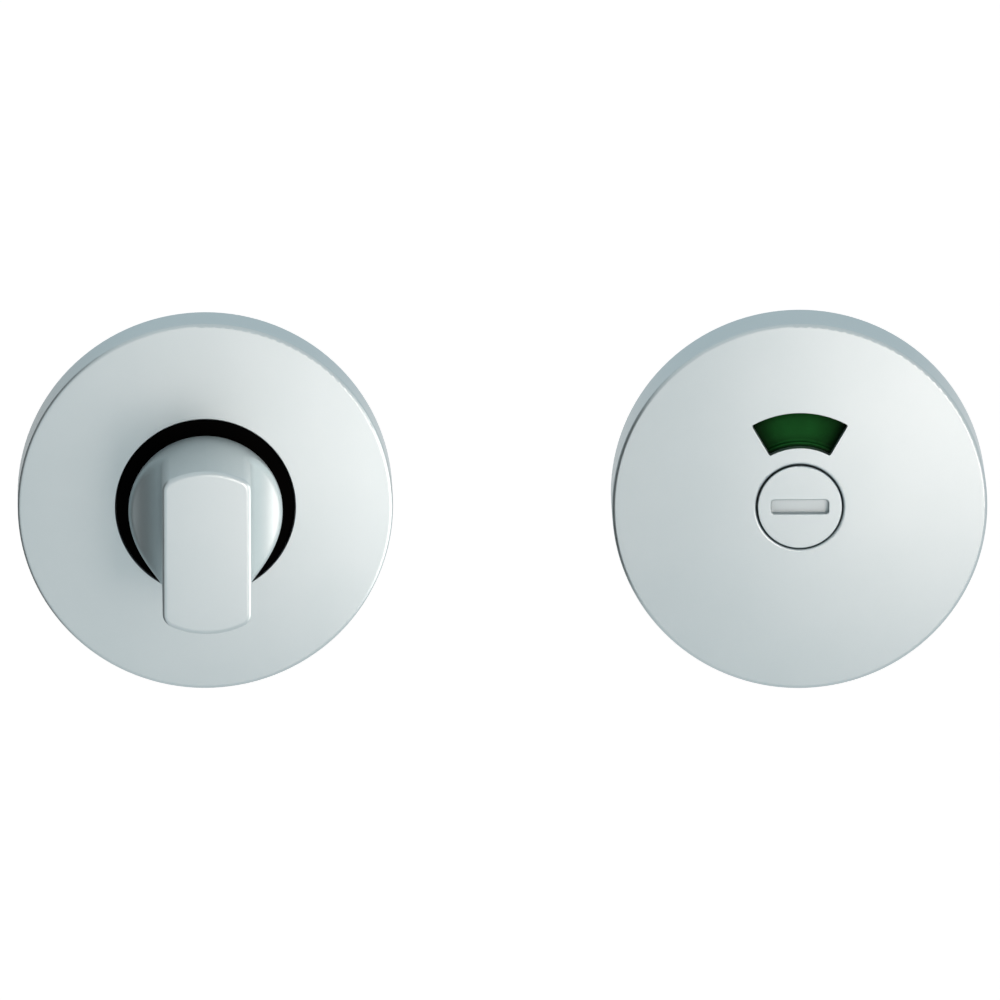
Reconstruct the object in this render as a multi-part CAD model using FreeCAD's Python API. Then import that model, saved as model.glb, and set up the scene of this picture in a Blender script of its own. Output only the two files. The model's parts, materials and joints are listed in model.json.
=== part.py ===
"""Bathroom thumb turn lock: the thumb turn rose from inside the room and the release rose.

Every piece is drawn with Z pointing away from the door and Z = 0 on the door. It is then
turned so that the fronts look along -Y, with the door on the plane Y = 0 and +Z up.
"""
import FreeCAD
import Part

import math
import os

V = FreeCAD.Vector
ORIGIN = V(0, 0, 0)
AXIS = V(0, 0, 1)
UP = V(0, 1, 0)

# Driving dimensions in millimetres: both halves
rose_dia = 52.0            # rose covers
cover_wall = 1.5           # thickness of the covers
cover_edge_round = 0.5     # round between face and rim of the covers
halves_spacing = 82.3      # axis to axis, as the halves lie side by side
spindle_size = 8.0         # across the flats of the spindle
neck_wall = 3.0            # between the spindle's flats and the round of the necks
fit_gap = 0.1              # between pieces that push together
running_gap = 0.05         # between pieces that turn in each other

# Thumb turn
inside_depth = 7.2         # door to the face of the thumb turn rose
turn_dia = 21.4            # round of the hub
grip_length = 23.2         # over the grip's two rounded ends, at its front
grip_width = 12.2          # across the flats of the grip
turn_projection = 26.6     # rose face to the front of the grip
turn_lift = 2.4            # rose face to the underside of the hub
hub_land = 0.7             # height of the hub's thin rim
scoop_radius = 10.0        # hollow between hub and grip
grip_front_round = 0.65
grip_corner_round = 1.8
ring_width = 2.2           # black ring seen between collar and rose
collar_step = 0.5          # how much the collar is smaller than the hub
bush_wall = 2.0
bush_set_back = 0.3        # black ring behind the rose face
tail_length = 6.0          # neck behind the door face
spindle_reach = 39.0       # spindle behind the door face
spindle_edge_chamfer = 0.6
spindle_end_chamfer = 0.8

# Release
outside_depth = 8.7        # door to the face of the release rose
button_dia = 11.7
button_projection = 0.15   # rose face to the front of the button
button_gap = 0.15          # all round between the button and the rose
button_hole_round = 0.4    # round of the rose's edge about the button
coin_slot_length = 7.9
coin_slot_width = 1.95
coin_slot_depth = 1.2
coin_slot_round = 0.2      # round of the slot's edge
window_inner_r = 8.35
window_outer_r = 13.4
window_angle = 60.0        # degrees
disc_thickness = 1.3
disc_margin = 1.4          # disc beyond the window
disc_set_back = 0.9        # disc behind the cover's inside
field_depth = 0.5          # inlaid fields of the disc
shank_size = 6.0           # square shank of the button
shank_seat = 1.4           # shank's reach into the follower
follower_web = 1.6         # wall between the follower's two sockets
follower_length = 8.0      # follower behind the door face
clamp_screw_dia = 3.0
clamp_head_height = 1.6
clamp_end_gap = 0.8        # front of the disc's hub to the end of the clamp screw's hole

# Base plates and fixings
plate_thickness = 2.8
seat_height = 4.4          # door to the heads of screws and sleeves
rim_wall = 1.8
rib_width = 1.4
snap_height = 1.7          # bead that holds the cover
snap_depth = 0.25
boss_wall = 2.2
screw_dia = 4.0
screw_inset = 7.0          # edge of the rose to the axis of the screws
screw_head_step = 1.75     # head radius beyond the thread
screw_reach = 34.0         # screws behind the door face
shank_relief = 0.23        # how much the plain shank is thinner than the thread
thread_clear = 1.5         # from the spigot's end to the screw's thread
sleeve_reach = 13.6        # sleeves behind the door face
sleeve_wall = 1.0
sleeve_head = 1.2
spigot_wall = 1.1
spigot_length = 5.0

# Ring that holds each neck, with its washers
ring_gap_to_door = 0.5
ring_thickness = 1.0
ring_section = 2.0
ring_groove_depth = 0.35
shim_thickness = 0.3
dish_thickness = 0.4
washer_margin = 1.2        # washers inside the recess
recess_margin = 4.5        # recess beyond the neck

# Sizes that follow
rose_r = rose_dia / 2
bore_r = rose_r - cover_wall
turn_r = turn_dia / 2
collar_r = turn_r - collar_step
turn_hole_r = collar_r + ring_width
neck_r = spindle_size / 2 + neck_wall
bush_r = neck_r + bush_wall
socket_size = spindle_size + fit_gap
screw_r = screw_dia / 2
screw_x = rose_r - screw_inset
screw_head_r = screw_r + screw_head_step
sleeve_r = screw_r + running_gap + sleeve_wall
recess_r = neck_r + recess_margin
boss_r = recess_r + boss_wall
plate_r = bore_r - fit_gap
spigot_r = sleeve_r + running_gap + spigot_wall
thread_start = spigot_length + thread_clear
groove_r = neck_r - ring_groove_depth
groove_z = ring_gap_to_door
groove_top = groove_z + ring_thickness + 2 * running_gap
ring_top = groove_top - running_gap
shim_top = ring_top + shim_thickness
button_r = button_dia / 2
button_hole_r = button_r + button_gap
inside_boss_z = inside_depth - cover_wall - 2 * fit_gap
hub_top = outside_depth - cover_wall - 2 * fit_gap
disc_top = outside_depth - cover_wall - disc_set_back
disc_bottom = disc_top - disc_thickness
outside_boss_z = disc_bottom - 2 * fit_gap
shank_bottom = disc_bottom - shank_seat
socket_top = shank_bottom - fit_gap - follower_web
clamp_r = clamp_screw_dia / 2
clamp_top = hub_top - clamp_end_gap


def cylinder(r, z0, z1, x=0.0, y=0.0):
    return Part.makeCylinder(r, z1 - z0, V(x, y, z0))


def turned(outline):
    """Solid turned about Z from its (radius, height) corners."""
    corners = [V(r, 0, z) for r, z in outline]
    face = Part.Face(Part.makePolygon(corners + corners[:1]))
    return face.revolve(ORIGIN, AXIS, 360)


def square_bar(size, z0, z1):
    return Part.makeBox(size, size, z1 - z0, V(-size / 2, -size / 2, z0))


def hexagon_bar(flats, z0, z1, x=0.0):
    r = flats / math.sqrt(3)
    turns = [math.radians(60 * i) for i in range(7)]
    outline = Part.makePolygon([V(x + r * math.cos(a), r * math.sin(a), z0) for a in turns])
    return Part.Face(outline).extrude(V(0, 0, z1 - z0))


def sector(r_in, r_out, angle, middle, z0, z1):
    """Piece of a ring, so many degrees wide about the direction given in degrees."""
    piece = Part.makeCylinder(r_out, z1 - z0, V(0, 0, z0), AXIS, angle)
    piece = piece.cut(cylinder(r_in, z0, z1))
    piece.rotate(ORIGIN, AXIS, middle - angle / 2)
    return piece


def cross_recess(size, z_top, depth, x=0.0):
    """Cross for a screwdriver, cut down from the height given."""
    arm = size / 5
    one = Part.makeBox(size, arm, depth, V(x - size / 2, -arm / 2, z_top - depth))
    two = Part.makeBox(arm, size, depth, V(x - arm / 2, -size / 2, z_top - depth))
    return one.fuse(two)


def rounded(shape, radius, wanted):
    return shape.makeFillet(radius, [edge for edge in shape.Edges if wanted(edge)])


def chamfered(shape, size, wanted):
    return shape.makeChamfer(size, [edge for edge in shape.Edges if wanted(edge)])


def circle_at(r, z):
    """Test for a full or part circle of this radius at this height."""
    def test(edge):
        curve = edge.Curve
        if not isinstance(curve, Part.Circle):
            return False
        return abs(curve.Radius - r) < 1e-3 and abs(curve.Center.z - z) < 1e-3
    return test


def level_at(z):
    """Test for an edge that lies flat at this height."""
    def test(edge):
        box = edge.BoundBox
        return box.ZLength < 1e-3 and abs(box.ZMin - z) < 1e-3
    return test


def upright(edge):
    box = edge.BoundBox
    return box.ZLength > 1e-3 and box.XLength < 1e-3 and box.YLength < 1e-3


def mirrored_pair(shape):
    """The shape and the same shape half a turn round the axis."""
    other = shape.copy()
    other.rotate(ORIGIN, AXIS, 180)
    return [shape, other]


def rose_cover(depth, openings):
    """Cup with a flat face; a groove inside its rim takes the base plate's bead."""
    inside = depth - cover_wall
    cup = rounded(cylinder(rose_r, 0, depth), cover_edge_round, circle_at(rose_r, depth))
    hollow = chamfered(cylinder(bore_r, 0, inside), cover_edge_round, circle_at(bore_r, inside))
    groove_bottom = bore_r + snap_depth
    half = 2 * snap_depth
    groove = turned([(bore_r - snap_depth, snap_height - half), (groove_bottom, snap_height),
                     (bore_r - snap_depth, snap_height + half)])
    return cup.cut(hollow).cut(groove).cut(openings)


def inside_cover():
    cover = rose_cover(inside_depth, cylinder(turn_hole_r, 0, inside_depth))
    return chamfered(cover, cover_wall / 10, circle_at(turn_hole_r, inside_depth))


def outside_cover():
    hole = cylinder(button_hole_r, 0, outside_depth)
    window = sector(window_inner_r, window_outer_r, window_angle, 90, 0, outside_depth)
    window = rounded(window, cover_wall / 5, upright)
    cover = rose_cover(outside_depth, hole.fuse(window))
    return rounded(cover, button_hole_round, circle_at(button_hole_r, outside_depth))


def base_plate(boss_z, centre_bore_r, fixing_hole):
    """Moulded plate: rim with bead, ribs, hollow boss, and a spigot round each fixing."""
    rim_r = plate_r - rim_wall
    plate = cylinder(plate_r, 0, plate_thickness).fuse(cylinder(boss_r, 0, boss_z))
    rim = cylinder(plate_r, 0, seat_height).cut(cylinder(rim_r, 0, seat_height))
    bead = turned([(rim_r, snap_height - snap_depth), (plate_r, snap_height - snap_depth),
                   (plate_r + snap_depth, snap_height), (plate_r, snap_height + snap_depth),
                   (rim_r, snap_height + snap_depth)])
    added = [rim, bead]
    for turn in (45, 90, 135, 225, 270, 315):
        rib = Part.makeBox(rim_r - boss_r + rim_wall, rib_width, seat_height - plate_thickness / 4,
                           V(boss_r - rim_wall / 2, -rib_width / 2, 0))
        rib.rotate(ORIGIN, AXIS, turn)
        added.append(rib)
    for x in (-screw_x, screw_x):
        post = cylinder(screw_head_r + rib_width, 0, seat_height, x)
        added.append(post.common(cylinder(plate_r, 0, seat_height)))
        spigot = cylinder(spigot_r, -spigot_length, 0, x)
        added.append(chamfered(spigot, spigot_wall / 2, level_at(-spigot_length)))
    plate = plate.multiFuse(added).removeSplitter()
    plate = plate.cut(cylinder(recess_r, 0, plate_thickness))
    plate = plate.cut(cylinder(centre_bore_r, plate_thickness, boss_z))
    return plate.cut(Part.makeCompound([fixing_hole(x) for x in (-screw_x, screw_x)]))


def countersunk_hole(x):
    hole_r = screw_r + fit_gap
    mouth_r = screw_head_r + fit_gap / 2
    depth = mouth_r - hole_r
    cone = Part.makeCone(hole_r, mouth_r, depth, V(x, 0, seat_height - depth))
    return cylinder(hole_r, -spigot_length, seat_height, x).fuse(cone)


def sleeve_hole(x):
    pocket = hexagon_bar(2 * (screw_head_r + fit_gap), seat_height - sleeve_head, seat_height, x)
    return cylinder(sleeve_r + running_gap, -spigot_length, seat_height, x).fuse(pocket)


def bearing_bush():
    """Black bush: body in the base plate, flange in the rose's hole, collar under the hub."""
    flange_top = inside_depth - bush_set_back
    collar_top = inside_depth + turn_lift - fit_gap
    flange_r = turn_hole_r - fit_gap
    body_r = bush_r - running_gap
    bore = neck_r + running_gap
    bush = turned([(bore, plate_thickness), (body_r, plate_thickness), (body_r, inside_boss_z),
                   (flange_r, inside_boss_z), (flange_r, flange_top), (collar_r, flange_top),
                   (collar_r, collar_top), (bore, collar_top)])
    return chamfered(bush, 2 * fit_gap, circle_at(flange_r, flange_top))


def thumb_turn():
    """Round hub with a straight grip, a neck behind it and a square socket up the neck."""
    bottom = inside_depth + turn_lift
    top = inside_depth + turn_projection
    half = grip_width / 2
    end_r = grip_length / 2
    flare = (end_r - turn_r) / (top - bottom)
    root = bottom - scoop_radius / 2

    def round_r(z):
        return turn_r + flare * (z - bottom)

    # Drawn down to the root first, so that the corner rounds run out past the hub's rim
    head = turned([(0, root), (round_r(root), root), (end_r, top), (0, top)])
    head.rotate(ORIGIN, AXIS, 90)
    scoop_x = half + scoop_radius
    scoop_z = bottom + hub_land + math.sqrt(scoop_radius ** 2 - (scoop_x - turn_r) ** 2)
    scoop = Part.makeCylinder(scoop_radius, 2 * grip_length, V(scoop_x, -grip_length, scoop_z), UP)
    side = Part.makeBox(2 * scoop_radius, 2 * grip_length, top, V(half, -grip_length, scoop_z))
    for cutter in mirrored_pair(scoop.fuse(side)):
        head = head.cut(cutter)

    def corner(edge):
        point = edge.valueAt((edge.FirstParameter + edge.LastParameter) / 2)
        on_round = abs(math.hypot(point.x, point.y) - round_r(point.z)) < 1e-2
        return on_round and abs(point.x) > half - 1e-3 and edge.BoundBox.ZLength > 1e-3

    head = rounded(head, grip_corner_round, corner)
    head = rounded(head, grip_front_round, level_at(top))
    head = head.cut(cylinder(turn_dia, root, bottom))
    turn = head.fuse(neck(tail_length, bottom))
    turn = turn.cut(square_bar(socket_size, -tail_length, inside_depth))
    thread = Part.makeCylinder(screw_r + running_gap, neck_r, V(0, 0, -tail_length / 2), UP)
    return turn.cut(thread)


def neck(length, top):
    """Journal with a chamfered end behind the door face and the groove of its ring."""
    body = chamfered(cylinder(neck_r, -length, top), ring_gap_to_door, circle_at(neck_r, -length))
    groove = cylinder(boss_r, groove_z, groove_top).cut(cylinder(groove_r, groove_z, groove_top))
    return body.cut(groove)


def retaining_ring():
    """Open ring with two eared ends, in the groove of a neck."""
    z0 = groove_z + running_gap
    inner_r = groove_r + running_gap
    outer_r = inner_r + ring_section
    ear_r = 0.75 * ring_section
    ears = []
    holes = []
    for turn in (-18, 18):
        angle = math.radians(turn - 90)
        ear_x = outer_r * math.cos(angle)
        ear_y = outer_r * math.sin(angle)
        ears.append(cylinder(ear_r, z0, ring_top, ear_x, ear_y))
        holes.append(cylinder(ear_r / 2, z0, ring_top, ear_x, ear_y))
    ring = cylinder(outer_r, z0, ring_top).multiFuse(ears).cut(cylinder(inner_r, z0, ring_top))
    gap_width = 1.2 * ring_section
    gap = Part.makeBox(gap_width, boss_r, ring_thickness, V(-gap_width / 2, -boss_r, z0))
    return ring.cut(gap).cut(Part.makeCompound(holes)).removeSplitter()


def shim_washer():
    outer = cylinder(recess_r - washer_margin, ring_top, shim_top)
    return outer.cut(cylinder(neck_r + fit_gap, ring_top, shim_top))


def spring_washer():
    """Dished washer between the shim and the base plate."""
    low = shim_top + running_gap
    high = plate_thickness - running_gap
    inner_r = neck_r + 2 * fit_gap
    outer_r = recess_r - washer_margin
    return turned([(inner_r, low), (outer_r, high - dish_thickness), (outer_r, high),
                   (inner_r, low + dish_thickness)])


def spindle():
    bar = square_bar(spindle_size, -spindle_reach, inside_depth - fit_gap)
    bar = chamfered(bar, spindle_edge_chamfer, upright)
    return chamfered(bar, spindle_end_chamfer, level_at(-spindle_reach))


def spindle_set_screw():
    start = spindle_size / 2
    length = neck_wall - fit_gap
    seat = V(0, start, -tail_length / 2)
    key = hexagon_bar(screw_r, length / 2, length)
    key.rotate(ORIGIN, V(1, 0, 0), -90)
    key.translate(seat)
    return Part.makeCylinder(screw_r, length, seat, UP).cut(key)


def fixing_screw(x):
    neck_z = seat_height - screw_head_step
    head = Part.makeCone(screw_r, screw_head_r, screw_head_step, V(x, 0, neck_z))
    shank = cylinder(screw_r - shank_relief, -thread_start, neck_z, x)
    thread = cylinder(screw_r, -screw_reach, -thread_start, x)
    thread = chamfered(thread, screw_r / 4, level_at(-screw_reach))
    screw = head.multiFuse([shank, thread])
    return screw.cut(cross_recess(screw_dia, seat_height, screw_head_step, x))


def threaded_sleeve(x):
    head = hexagon_bar(2 * screw_head_r, seat_height - sleeve_head, seat_height, x)
    body = cylinder(sleeve_r, -sleeve_reach, seat_height - sleeve_head, x)
    return head.fuse(body).cut(cylinder(screw_r + running_gap, -sleeve_reach, seat_height, x))


def indicator_disc():
    """Disc with a raised hub; its shank hole is square."""
    hub_r = window_inner_r + field_depth
    step = (hub_top - disc_top) / 2
    disc = cylinder(window_outer_r + disc_margin, disc_bottom, disc_top)
    disc = disc.fuse(cylinder(hub_r, disc_bottom, hub_top))
    disc = rounded(disc, step, circle_at(hub_r, disc_top))
    disc = rounded(disc, 0.7 * step, circle_at(hub_r, hub_top))
    return disc.cut(square_bar(shank_size + fit_gap, disc_bottom, hub_top))


def indicator_fields():
    """The two inlaid fields of the disc, a quarter each, shown after a quarter turn."""
    quarter = sector(button_hole_r, rose_r, 90, 0, disc_top - field_depth, outside_depth)
    return indicator_disc().common(Part.makeCompound(mirrored_pair(quarter)))


def release_button():
    """Button with a coin slot and a square shank behind."""
    front = outside_depth + button_projection
    slot_floor = front - coin_slot_depth
    button = cylinder(button_r, hub_top, front)
    button = rounded(button, button_projection, circle_at(button_r, front))
    button = button.fuse(square_bar(shank_size, shank_bottom, hub_top))
    slot = Part.makeBox(coin_slot_length, coin_slot_width, coin_slot_depth,
                        V(-coin_slot_length / 2, -coin_slot_width / 2, slot_floor))
    button = button.cut(rounded(slot, coin_slot_width / 5, upright))

    def slot_edge(edge):
        return level_at(front)(edge) and edge.BoundBox.XLength < coin_slot_length

    button = rounded(button, coin_slot_round, slot_edge)
    return button.cut(cylinder(clamp_r + running_gap, shank_bottom, clamp_top))


def release_follower():
    """Journal of the release: shank socket in front, spindle socket behind."""
    body = neck(follower_length, disc_bottom)
    body = body.cut(square_bar(shank_size + fit_gap, shank_bottom - fit_gap, disc_bottom))
    body = body.cut(square_bar(socket_size, -follower_length, socket_top))
    return body.cut(cylinder(clamp_r + fit_gap, socket_top, disc_bottom))


def release_screw():
    underside = socket_top - clamp_head_height
    head = cylinder(1.8 * clamp_r, underside, socket_top)
    head = chamfered(head, clamp_head_height / 4, level_at(underside))
    screw = head.fuse(cylinder(clamp_r, socket_top, clamp_top - fit_gap))
    cross = cross_recess(1.8 * clamp_r, underside + clamp_head_height / 2, clamp_head_height / 2)
    return screw.cut(cross)


def stand(shape, x):
    """Turn a piece so that its front looks along -Y, and move it to its half."""
    placed = shape.copy()
    placed.rotate(ORIGIN, V(1, 0, 0), 90)
    placed.translate(V(x, 0, 0))
    return placed


fields = indicator_fields()
both_sides = (-screw_x, screw_x)

inside_half = {
    "inside_rose_cover": inside_cover(),
    "thumb_turn": thumb_turn(),
    "bearing_bush": bearing_bush(),
    "inside_base_plate": base_plate(inside_boss_z, bush_r, countersunk_hole),
    "inside_spring_washer": spring_washer(),
    "inside_shim_washer": shim_washer(),
    "inside_retaining_ring": retaining_ring(),
    "spindle": spindle(),
    "spindle_set_screw": spindle_set_screw(),
    "fixing_screws": Part.makeCompound([fixing_screw(x) for x in both_sides]),
}
outside_half = {
    "outside_rose_cover": outside_cover(),
    "release_button": release_button(),
    "indicator_green": indicator_disc().cut(fields),
    "indicator_red": fields,
    "release_follower": release_follower(),
    "release_screw": release_screw(),
    "outside_base_plate": base_plate(outside_boss_z, neck_r + running_gap, sleeve_hole),
    "outside_spring_washer": spring_washer(),
    "outside_shim_washer": shim_washer(),
    "outside_retaining_ring": retaining_ring(),
    "threaded_sleeves": Part.makeCompound([threaded_sleeve(x) for x in both_sides]),
}

os.makedirs("parts", exist_ok=True)
for half_x, half in ((0.0, inside_half), (halves_spacing, outside_half)):
    for name, shape in half.items():
        stand(shape, half_x).exportStep(f"parts/{name}.step")
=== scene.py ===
import json
import math

import bmesh
import bpy
from mathutils import Matrix, Vector


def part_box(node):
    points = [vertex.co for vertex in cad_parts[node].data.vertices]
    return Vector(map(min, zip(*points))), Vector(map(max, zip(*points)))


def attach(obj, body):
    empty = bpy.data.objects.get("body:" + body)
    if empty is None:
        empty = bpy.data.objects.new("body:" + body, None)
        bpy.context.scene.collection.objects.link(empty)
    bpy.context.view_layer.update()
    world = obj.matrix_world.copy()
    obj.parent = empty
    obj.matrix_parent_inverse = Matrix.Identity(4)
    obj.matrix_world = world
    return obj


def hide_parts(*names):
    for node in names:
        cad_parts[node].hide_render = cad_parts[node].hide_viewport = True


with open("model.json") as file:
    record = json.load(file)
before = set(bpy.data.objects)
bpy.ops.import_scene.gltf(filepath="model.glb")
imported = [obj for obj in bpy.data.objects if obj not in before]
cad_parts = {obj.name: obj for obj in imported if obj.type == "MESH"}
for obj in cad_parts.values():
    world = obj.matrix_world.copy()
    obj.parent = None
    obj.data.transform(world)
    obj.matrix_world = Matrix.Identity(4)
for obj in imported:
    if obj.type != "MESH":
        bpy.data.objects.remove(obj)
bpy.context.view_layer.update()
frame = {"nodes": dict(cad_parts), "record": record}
nodes = frame["nodes"]
mounts = {mount["name"]: mount for mount in frame["record"]["mounts"]}

MM = 0.001
DOOR_AXIS = (0, 1, 0)

# Places taken from the frame
RELEASE_X = mounts["outside_sleeves"]["pos_m"][0]
SCREW_X = mounts["inside_fixing_screws"]["dims"]["pcd_mm"] / 2 * MM
SCREW_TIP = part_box("fixing_screws")[1].y
SLEEVE_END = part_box("threaded_sleeves")[1].y
INSIDE_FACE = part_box("inside_rose_cover")[0].y
OUTSIDE_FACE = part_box("outside_rose_cover")[0].y

# Camera: a long lens, a little above the roses and a touch to their left
PICTURE_WIDTH = 138.5 * MM
CAMERA_TARGET = Vector((40.8, -7.2, 0.8)) * MM
CAMERA_ELEVATION = math.radians(14.0)
CAMERA_AZIMUTH = math.radians(-1.0)
CAMERA_DISTANCE = 4.0
CAMERA_CLIP_END = 3 * CAMERA_DISTANCE
SENSOR = 36.0

# Screw threads, M4
THREAD_PITCH = 0.7 * MM
THREAD_CREST = mounts["inside_fixing_screws"]["dims"]["stud_r_mm"] * MM
THREAD_CORE = 1.6 * MM
THREAD_STEPS = 32
THREAD_CLIMB = (0, THREAD_PITCH / THREAD_STEPS, 0)
SPARE_TURNS = 2         # wound before the start of a thread, and cut off
TIP_TAPER = 0.86        # width of a screw's end, as a share of the thread's
PLAIN_SHANK_END = 6.5 * MM

# Corners of the screw's tooth: radius, and place along the axis as a share of the pitch
SCREW_TOOTH = ((THREAD_CORE, 0.0), (THREAD_CORE, 0.22), (THREAD_CREST, 0.5), (THREAD_CREST, 0.68))

# The sleeve's tooth is rooted a little way into the wall of the bore
SLEEVE_ROOT = (mounts["outside_sleeves"]["dims"]["hole_r_mm"] + 0.01) * MM
SLEEVE_CREST = 1.72 * MM
SLEEVE_HALF = 0.46 * THREAD_PITCH
SLEEVE_TOOTH = ((SLEEVE_ROOT, -SLEEVE_HALF), (SLEEVE_CREST, 0.0), (SLEEVE_ROOT, SLEEVE_HALF))
SLEEVE_THREAD_START = 4.0 * MM
SLEEVE_THREAD_END = SLEEVE_END - 0.4 * MM

MERGE_DISTANCE = 1e-6
CUT_TOLERANCE = 1e-7
SMOOTH_ANGLE = math.radians(30)

# Studio
WARM_WHITE = "#FFE6DC"    # lamps
SOFT_WHITE = "#FFF3ED"    # the bright card
COOL_WHITE = "#EAF9FF"    # the card behind
NEUTRAL = "#FFFFFF"
SOFTBOX_SIZE = (0.05, 0.07)
SOFTBOX_SPREAD = math.radians(40)
FLOOR_HALF = 6.0
FLOOR_GLOW = 0.78

# Rays for the painted shade in slots, grooves and corners
PAINTED_SHADE_RAYS = 6
WAVE_PERIOD = math.tau / 20    # length of one wave of a wave texture at scale 1


def linear(hex_colour):
    """Linear RGBA of an sRGB hex colour."""
    channels = [int(hex_colour[i:i + 2], 16) / 255 for i in (1, 3, 5)]
    toned = [c / 12.92 if c <= 0.04045 else ((c + 0.055) / 1.055) ** 2.4 for c in channels]
    return (*toned, 1.0)


def per_metre(size_mm):
    """Texture scale that gives marks of this size in mm."""
    return 1.0 / (size_mm * MM)


def add_node(tree, kind, settings=None, links=None):
    """Add a node, set its properties or inputs by name, and link its inputs."""
    node = tree.nodes.new(kind)
    for name, value in (settings or {}).items():
        if isinstance(name, int) or name in node.inputs:
            node.inputs[name].default_value = value
        else:
            setattr(node, name, value)
    for name, source in (links or {}).items():
        tree.links.new(source, node.inputs[name])
    return node


def new_tree(name):
    """A material with an empty node tree, and its Object coordinates."""
    material = bpy.data.materials.new(name)
    material.use_nodes = True
    tree = material.node_tree
    tree.nodes.clear()
    place = add_node(tree, "ShaderNodeTexCoord").outputs["Object"]
    return material, tree, place


def finish_surface(tree, shader):
    """Make the shader the material's surface."""
    add_node(tree, "ShaderNodeOutputMaterial", {}, {"Surface": shader.outputs[0]})


def painted_recess_shade(tree, colour, reach, least, steepness=1.0):
    """The colour with painted shade: darker where other surfaces stand close in front, as in slots and
    corners.
    """
    opening = add_node(tree, "ShaderNodeAmbientOcclusion",
                       {"samples": PAINTED_SHADE_RAYS, "Distance": reach})
    share = add_node(tree, "ShaderNodeMath", {"operation": "POWER", 1: steepness},
                     {0: opening.outputs["AO"]})
    level = add_node(tree, "ShaderNodeMapRange", {"To Min": least, "To Max": 1.0},
                     {"Value": share.outputs[0]})
    dimmed = add_node(tree, "ShaderNodeMix", {"data_type": "RGBA", "blend_type": "MULTIPLY", 0: 1.0},
                      {6: colour, 7: level.outputs[0]})
    return dimmed.outputs[2]


def satin_anodised_aluminium():
    """Bead blasted and clear anodised: a soft even sheen, a fine grain, no brushing."""
    material, tree, place = new_tree("satin_anodised_aluminium")
    # The blasted grain is about 0.05 mm; it is drawn at 0.16 mm so that it shows.
    grain = add_node(tree, "ShaderNodeTexNoise", {"Scale": per_metre(0.16), "Detail": 2.0},
                     {"Vector": place})
    cloud = add_node(tree, "ShaderNodeTexNoise", {"Scale": per_metre(9.0), "Detail": 3.0},
                     {"Vector": place})
    colour = add_node(tree, "ShaderNodeMix",
                      {"data_type": "RGBA", 6: linear("#B0BDC0"), 7: linear("#B5C1C4")},
                      {0: cloud.outputs["Fac"]})
    sheen = add_node(tree, "ShaderNodeMapRange", {"To Min": 0.40, "To Max": 0.46},
                     {"Value": grain.outputs["Fac"]})
    bump = add_node(tree, "ShaderNodeBump", {"Strength": 0.05, "Distance": 0.02 * MM},
                    {"Height": grain.outputs["Fac"]})
    # Painted shade: the metal's colour is darkened in slots, grooves and corners where other surfaces
    # stand close
    tone = painted_recess_shade(tree, colour.outputs[2], reach=2.5 * MM, least=0.72)
    shader = add_node(tree, "ShaderNodeBsdfPrincipled", {"Metallic": 1.0},
                      {"Base Color": tone, "Roughness": sheen.outputs[0], "Normal": bump.outputs[0]})
    finish_surface(tree, shader)
    return material


def black_acetal():
    """Moulded in a lightly sparked tool: deep black with a dull skin."""
    material, tree, place = new_tree("black_acetal")
    spark = add_node(tree, "ShaderNodeTexNoise", {"Scale": per_metre(0.3), "Detail": 3.0},
                     {"Vector": place})
    colour = add_node(tree, "ShaderNodeMix",
                      {"data_type": "RGBA", 6: linear("#010101"), 7: linear("#030303")},
                      {0: spark.outputs["Fac"]})
    dull = add_node(tree, "ShaderNodeMapRange", {"To Min": 0.6, "To Max": 0.75},
                    {"Value": spark.outputs["Fac"]})
    bump = add_node(tree, "ShaderNodeBump", {"Strength": 0.15, "Distance": 0.02 * MM},
                    {"Height": spark.outputs["Fac"]})
    shader = add_node(tree, "ShaderNodeBsdfPrincipled", {"Specular IOR Level": 0.01},
                      {"Base Color": colour.outputs[2], "Roughness": dull.outputs[0],
                       "Normal": bump.outputs[0]})
    finish_surface(tree, shader)
    return material


def glass_filled_nylon():
    """Moulded with short glass fibres: a dull grey skin with pale streaks."""
    material, tree, place = new_tree("glass_filled_nylon")
    lay = add_node(tree, "ShaderNodeMapping", {"Scale": (1.0, 1.0, 0.2), "Rotation": (0.0, 0.6, 0.0)},
                   {"Vector": place})
    fibre = add_node(tree, "ShaderNodeTexNoise", {"Scale": per_metre(0.35), "Detail": 4.0},
                     {"Vector": lay.outputs[0]})
    streak = add_node(tree, "ShaderNodeMapRange", {"From Min": 0.45, "From Max": 0.75},
                      {"Value": fibre.outputs["Fac"]})
    colour = add_node(tree, "ShaderNodeMix",
                      {"data_type": "RGBA", 6: linear("#4E5254"), 7: linear("#6C7072")},
                      {0: streak.outputs[0]})
    dull = add_node(tree, "ShaderNodeMapRange", {"To Min": 0.5, "To Max": 0.7},
                    {"Value": fibre.outputs["Fac"]})
    bump = add_node(tree, "ShaderNodeBump", {"Strength": 0.2, "Distance": 0.03 * MM},
                    {"Height": fibre.outputs["Fac"]})
    shader = add_node(tree, "ShaderNodeBsdfPrincipled", {"IOR": 1.53},
                      {"Base Color": colour.outputs[2], "Roughness": dull.outputs[0],
                       "Normal": bump.outputs[0]})
    finish_surface(tree, shader)
    return material


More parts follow.
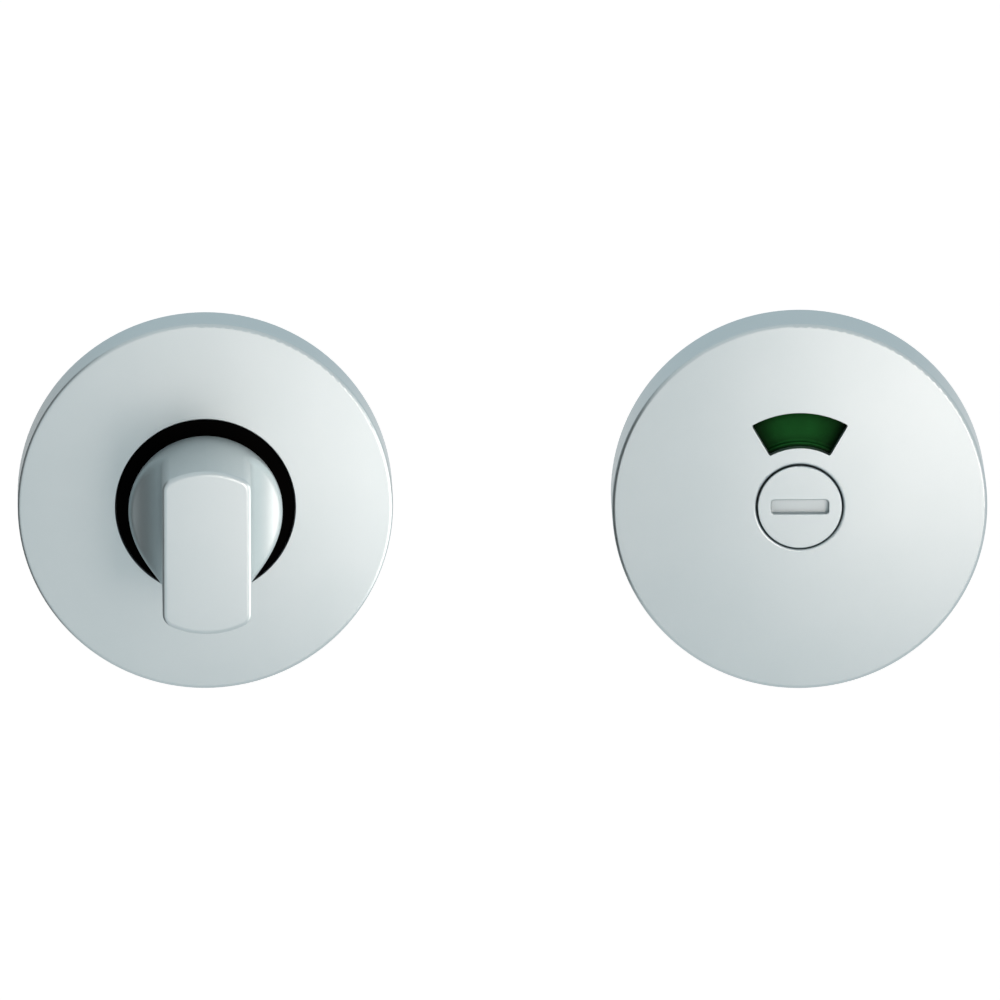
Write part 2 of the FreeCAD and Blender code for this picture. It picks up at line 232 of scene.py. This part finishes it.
def phosphated_spring_steel():
    """Hardened strip, phosphated and oiled: dark grey with a fine crystal mottle."""
    material, tree, place = new_tree("phosphated_spring_steel")
    crystal = add_node(tree, "ShaderNodeTexVoronoi", {"Scale": per_metre(0.25)}, {"Vector": place})
    tone = add_node(tree, "ShaderNodeSeparateColor", {}, {"Color": crystal.outputs["Color"]})
    colour = add_node(tree, "ShaderNodeMix",
                      {"data_type": "RGBA", 6: linear("#4A4B4E"), 7: linear("#66686C")},
                      {0: tone.outputs[0]})
    oily = add_node(tree, "ShaderNodeMapRange", {"To Min": 0.38, "To Max": 0.55},
                    {"Value": tone.outputs[1]})
    shader = add_node(tree, "ShaderNodeBsdfPrincipled", {"Metallic": 1.0},
                      {"Base Color": colour.outputs[2], "Roughness": oily.outputs[0]})
    finish_surface(tree, shader)
    return material


def zinc_plated_steel():
    """Drawn or rolled steel with bright zinc: cool grey, faint lines along the bar."""
    material, tree, place = new_tree("zinc_plated_steel")
    along = add_node(tree, "ShaderNodeMapping", {"Scale": (1.0, 0.03, 1.0)}, {"Vector": place})
    lines = add_node(tree, "ShaderNodeTexNoise", {"Scale": per_metre(0.2), "Detail": 3.0},
                     {"Vector": along.outputs[0]})
    cloud = add_node(tree, "ShaderNodeTexNoise", {"Scale": per_metre(4.0), "Detail": 2.0},
                     {"Vector": place})
    colour = add_node(tree, "ShaderNodeMix",
                      {"data_type": "RGBA", 6: linear("#B4BAC1"), 7: linear("#C8C9C4")},
                      {0: cloud.outputs["Fac"]})
    bright = add_node(tree, "ShaderNodeMapRange", {"To Min": 0.24, "To Max": 0.4},
                      {"Value": lines.outputs["Fac"]})
    bump = add_node(tree, "ShaderNodeBump", {"Strength": 0.1, "Distance": 0.02 * MM},
                    {"Height": lines.outputs["Fac"]})
    shader = add_node(tree, "ShaderNodeBsdfPrincipled", {"Metallic": 1.0},
                      {"Base Color": colour.outputs[2], "Roughness": bright.outputs[0],
                       "Normal": bump.outputs[0]})
    finish_surface(tree, shader)
    return material


def turned_brass():
    """Free cutting brass from the lathe: warm yellow with fine rings from the tool."""
    material, tree, place = new_tree("turned_brass")
    # Feed marks are about 0.05 mm; they are drawn at 0.45 mm so that they show.
    rings = add_node(tree, "ShaderNodeTexWave",
                     {"bands_direction": "Y", "Scale": per_metre(0.45) * WAVE_PERIOD,
                      "Distortion": 0.4},
                     {"Vector": place})
    cloud = add_node(tree, "ShaderNodeTexNoise", {"Scale": per_metre(3.0), "Detail": 2.0},
                     {"Vector": place})
    colour = add_node(tree, "ShaderNodeMix",
                      {"data_type": "RGBA", 6: linear("#C79F55"), 7: linear("#DDBB75")},
                      {0: cloud.outputs["Fac"]})
    cut = add_node(tree, "ShaderNodeMapRange", {"To Min": 0.22, "To Max": 0.36},
                   {"Value": rings.outputs["Fac"]})
    bump = add_node(tree, "ShaderNodeBump", {"Strength": 0.06, "Distance": 0.02 * MM},
                    {"Height": rings.outputs["Fac"]})
    shader = add_node(tree, "ShaderNodeBsdfPrincipled", {"Metallic": 1.0},
                      {"Base Color": colour.outputs[2], "Roughness": cut.outputs[0],
                       "Normal": bump.outputs[0]})
    finish_surface(tree, shader)
    return material


def gloss_abs(name, dark, light):
    """Moulded in a polished tool: clear colour, a faint ripple, little shine behind the window;
    painted shade darkens it where other surfaces stand close in front.
    """
    material, tree, place = new_tree(name)
    ripple = add_node(tree, "ShaderNodeTexNoise", {"Scale": per_metre(1.6), "Detail": 1.0},
                      {"Vector": place})
    colour = add_node(tree, "ShaderNodeMix", {"data_type": "RGBA", 6: linear(dark), 7: linear(light)},
                      {0: ripple.outputs["Fac"]})
    gloss = add_node(tree, "ShaderNodeMapRange", {"To Min": 0.2, "To Max": 0.28},
                     {"Value": ripple.outputs["Fac"]})
    bump = add_node(tree, "ShaderNodeBump", {"Strength": 0.04, "Distance": 0.03 * MM},
                    {"Height": ripple.outputs["Fac"]})
    # Painted shade: the colour falls steeply towards black where the cover's window walls and the
    # disc's own step stand close
    tone = painted_recess_shade(tree, colour.outputs[2], reach=4.0 * MM, least=0.0, steepness=3.0)
    shader = add_node(tree, "ShaderNodeBsdfPrincipled", {"IOR": 1.53, "Specular IOR Level": 0.015},
                      {"Base Color": tone, "Roughness": gloss.outputs[0], "Normal": bump.outputs[0]})
    finish_surface(tree, shader)
    return material


def mesh_object(name, bm, material):
    """An object of the mesh with its finish, placed in the scene."""
    mesh = bpy.data.meshes.new(name)
    bm.to_mesh(mesh)
    bm.free()
    mesh.materials.append(material)
    thing = bpy.data.objects.new(name, mesh)
    bpy.context.scene.collection.objects.link(thing)
    return thing


def shade_by_angle(bm):
    """Smooth faces with sharp edges where two faces meet at a clear angle."""
    for face in bm.faces:
        face.smooth = True
    for edge in bm.edges:
        edge.smooth = edge.calc_face_angle(0.0) < SMOOTH_ANGLE


def new_piece(name, bm, material, body):
    """Make a piece of the mesh, give it its finish and let it move with its body."""
    shade_by_angle(bm)
    piece = mesh_object(name, bm, material)
    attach(piece, body)
    return piece


def cut_off(bm, y, beyond):
    """Cut flat across the door axis, drop what lies beyond the cut or before it, and close it."""
    cut = bmesh.ops.bisect_plane(bm, geom=bm.verts[:] + bm.edges[:] + bm.faces[:], dist=CUT_TOLERANCE,
                                 plane_co=(0, y, 0), plane_no=DOOR_AXIS,
                                 clear_outer=beyond, clear_inner=not beyond)
    rim = [item for item in cut["geom_cut"] if isinstance(item, bmesh.types.BMEdge)]
    bmesh.ops.holes_fill(bm, edges=rim, sides=0)


def outside_thread(x, start, end):
    """Threaded bar along the door axis: one turn of the tooth line, climbing by a pitch."""
    bm = bmesh.new()
    first = start - SPARE_TURNS * THREAD_PITCH
    teeth = int((end - start) / THREAD_PITCH) + SPARE_TURNS + 1
    line = [bm.verts.new((x + radius, first + (tooth + share) * THREAD_PITCH, 0.0))
            for tooth in range(teeth) for radius, share in SCREW_TOOTH]
    edges = [bm.edges.new(pair) for pair in zip(line, line[1:])]
    bmesh.ops.spin(bm, geom=line + edges, cent=(x, 0, 0), axis=DOOR_AXIS, angle=math.tau,
                   steps=THREAD_STEPS, dvec=THREAD_CLIMB, use_merge=False)
    bmesh.ops.remove_doubles(bm, verts=bm.verts, dist=MERGE_DISTANCE)
    cut_off(bm, start, beyond=False)
    cut_off(bm, end, beyond=True)
    tip = [vert for vert in bm.verts if vert.co.y > end - MERGE_DISTANCE]
    bmesh.ops.scale(bm, vec=(TIP_TAPER, 1.0, TIP_TAPER), space=Matrix.Translation((-x, 0, 0)),
                    verts=tip)
    bmesh.ops.recalc_face_normals(bm, faces=bm.faces)
    return bm


def threaded_fixing_screws(material):
    """The two fixing screws with their heads as they are and real threads on the shanks."""
    bm = bmesh.new()
    bm.from_mesh(nodes["fixing_screws"].data)
    bmesh.ops.remove_doubles(bm, verts=bm.verts, dist=MERGE_DISTANCE)
    cut_off(bm, PLAIN_SHANK_END, beyond=True)
    for x in (-SCREW_X, SCREW_X):
        thread = outside_thread(x, PLAIN_SHANK_END - THREAD_PITCH, SCREW_TIP)
        mesh = bpy.data.meshes.new("thread")
        thread.to_mesh(mesh)
        thread.free()
        bm.from_mesh(mesh)
        bpy.data.meshes.remove(mesh)
    piece = new_piece("threaded_fixing_screws", bm, material, "roses")
    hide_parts("fixing_screws")


def sleeve_threads(material):
    """Thread inside each brass sleeve: one tooth wound along the bore."""
    bm = bmesh.new()
    turns = int((SLEEVE_THREAD_END - SLEEVE_THREAD_START) / THREAD_PITCH)
    for x in (RELEASE_X - SCREW_X, RELEASE_X + SCREW_X):
        corners = [bm.verts.new((x + radius, SLEEVE_THREAD_START + offset, 0.0))
                   for radius, offset in SLEEVE_TOOTH]
        tooth = bm.faces.new(corners)
        bmesh.ops.spin(bm, geom=corners + tooth.edges[:] + [tooth], cent=(x, 0, 0), axis=DOOR_AXIS,
                       angle=turns * math.tau, steps=turns * THREAD_STEPS, dvec=THREAD_CLIMB,
                       use_merge=False)
    bmesh.ops.recalc_face_normals(bm, faces=bm.faces)
    new_piece("sleeve_threads", bm, material, "roses")


def softbox(name, place, target, power):
    """Rectangular lamp that looks at the target and isn't seen itself."""
    data = bpy.data.lights.new(name, "AREA")
    data.color = linear(WARM_WHITE)[:3]
    data.shape = "RECTANGLE"
    data.size, data.size_y = SOFTBOX_SIZE
    data.energy = power
    data.spread = SOFTBOX_SPREAD
    lamp = bpy.data.objects.new(name, data)
    lamp.location = place
    lamp.visible_camera = False
    lamp.rotation_euler = (Vector(target) - Vector(place)).to_track_quat("-Z", "Y").to_euler()
    bpy.context.scene.collection.objects.link(lamp)


def studio_card(name, colour, level, place, target, size):
    """Flat card, even in tone on its front and black behind, that the metal mirrors unseen."""
    material, tree, _ = new_tree(name)
    side = add_node(tree, "ShaderNodeNewGeometry")
    front = add_node(tree, "ShaderNodeMapRange", {"To Min": level, "To Max": 0.0},
                     {"Value": side.outputs["Backfacing"]})
    glow = add_node(tree, "ShaderNodeEmission", {"Color": linear(colour)},
                    {"Strength": front.outputs[0]})
    finish_surface(tree, glow)
    turn = (Vector(target) - Vector(place)).to_track_quat("Z", "Y").to_matrix().to_4x4()
    stretch = Matrix.Diagonal((*size, 1.0, 1.0))
    bm = bmesh.new()
    bmesh.ops.create_grid(bm, x_segments=1, y_segments=1, size=0.5)
    bmesh.ops.transform(bm, matrix=Matrix.Translation(place) @ turn @ stretch, verts=bm.verts)
    card = mesh_object(name, bm, material)
    card.visible_camera = False
    card.visible_shadow = False


def seen_directly(tree):
    """1 where the camera sees the surface, straight or by way of metal or glass."""
    path = add_node(tree, "ShaderNodeLightPath")
    metal = add_node(tree, "ShaderNodeMath", {"operation": "MAXIMUM"},
                     {0: path.outputs["Is Camera Ray"], 1: path.outputs["Is Glossy Ray"]})
    glass = add_node(tree, "ShaderNodeMath", {"operation": "MAXIMUM"},
                     {0: metal.outputs[0], 1: path.outputs["Is Transmission Ray"]})
    return glass.outputs[0]


def pale_floor(height):
    """Wide matt floor that looks nearly white."""
    material, tree, _ = new_tree("pale_floor")
    level = add_node(tree, "ShaderNodeMath", {"operation": "MULTIPLY", 1: FLOOR_GLOW},
                     {0: seen_directly(tree)})
    glow = add_node(tree, "ShaderNodeEmission", {"Color": linear(NEUTRAL)},
                    {"Strength": level.outputs[0]})
    matt = add_node(tree, "ShaderNodeBsdfDiffuse", {"Color": linear("#B4B4B4")})
    both = add_node(tree, "ShaderNodeAddShader", {}, {0: glow.outputs[0], 1: matt.outputs[0]})
    finish_surface(tree, both)
    bm = bmesh.new()
    bmesh.ops.create_grid(bm, x_segments=1, y_segments=1, size=FLOOR_HALF)
    bmesh.ops.translate(bm, vec=(0, 0, height), verts=bm.verts)
    floor = mesh_object("floor", bm, material)


def studio_world(ambient):
    """White where the camera looks past the object, and a level ambient light."""
    world = bpy.data.worlds.new("studio")
    bpy.context.scene.world = world
    world.use_nodes = True
    tree = world.node_tree
    tree.nodes.clear()
    around = add_node(tree, "ShaderNodeBackground", {"Color": linear(NEUTRAL), "Strength": ambient})
    white = add_node(tree, "ShaderNodeBackground", {"Color": linear(NEUTRAL), "Strength": 1.0})
    mix = add_node(tree, "ShaderNodeMixShader", {},
                   {0: seen_directly(tree), 1: around.outputs[0], 2: white.outputs[0]})
    add_node(tree, "ShaderNodeOutputWorld", {}, {"Surface": mix.outputs[0]})


def photo_camera():
    """Camera that stands where the photograph was taken and frames both roses."""
    direction = Vector((math.sin(CAMERA_AZIMUTH) * math.cos(CAMERA_ELEVATION),
                        -math.cos(CAMERA_AZIMUTH) * math.cos(CAMERA_ELEVATION),
                        math.sin(CAMERA_ELEVATION)))
    data = bpy.data.cameras.new("camera")
    data.sensor_width = SENSOR
    data.lens = SENSOR * CAMERA_DISTANCE / PICTURE_WIDTH
    data.clip_end = CAMERA_CLIP_END
    camera = bpy.data.objects.new("camera", data)
    camera.location = CAMERA_TARGET + direction * CAMERA_DISTANCE
    camera.rotation_euler = (-direction).to_track_quat("-Z", "Y").to_euler()
    bpy.context.scene.collection.objects.link(camera)
    bpy.context.scene.camera = camera


photo_camera()

finishes = {
    "satin_aluminium": satin_anodised_aluminium(),
    "black_acetal": black_acetal(),
    "grey_nylon": glass_filled_nylon(),
    "spring_steel": phosphated_spring_steel(),
    "zinc_plated_steel": zinc_plated_steel(),
    "brass": turned_brass(),
    "green_plastic": gloss_abs("green_abs", "#246D32", "#297A38"),
    "red_plastic": gloss_abs("red_abs", "#D52020", "#E72727"),
}
for subpart in frame["record"]["subparts"]:
    materials = nodes[subpart["node"]].data.materials
    materials.clear()
    materials.append(finishes[subpart["material_slot"]])

threaded_fixing_screws(finishes["zinc_plated_steel"])
sleeve_threads(finishes["brass"])

# One softbox to the right of each rose
softbox("turn_softbox", place=(0.044, -0.137, 0.014), target=(0.008, INSIDE_FACE, 0.010), power=0.0042)
softbox("release_softbox", place=(RELEASE_X + 0.052, -0.139, 0.014),
        target=(RELEASE_X + 0.014, OUTSIDE_FACE, 0.010), power=0.0064)

# A dark card on the left, a bright one beside the right scoop, a cool one behind
studio_card("black_card", NEUTRAL, level=0.15, place=(-0.12, 0.05, -0.02), target=(0.0, 0.05, -0.02),
            size=(0.22, 0.3))
studio_card("white_card", SOFT_WHITE, level=3.2, place=(0.041, -0.030, -0.004),
            target=(0.0, -0.022, 0.0), size=(0.04, 0.05))
studio_card("grey_card", COOL_WHITE, level=0.82, place=(0.04, 0.25, 0.12), target=(0.04, 0.0, 0.02),
            size=(0.7, 0.2))

pale_floor(height=-0.16)
studio_world(ambient=0.55)

bpy.context.scene.view_settings.view_transform = "Standard"
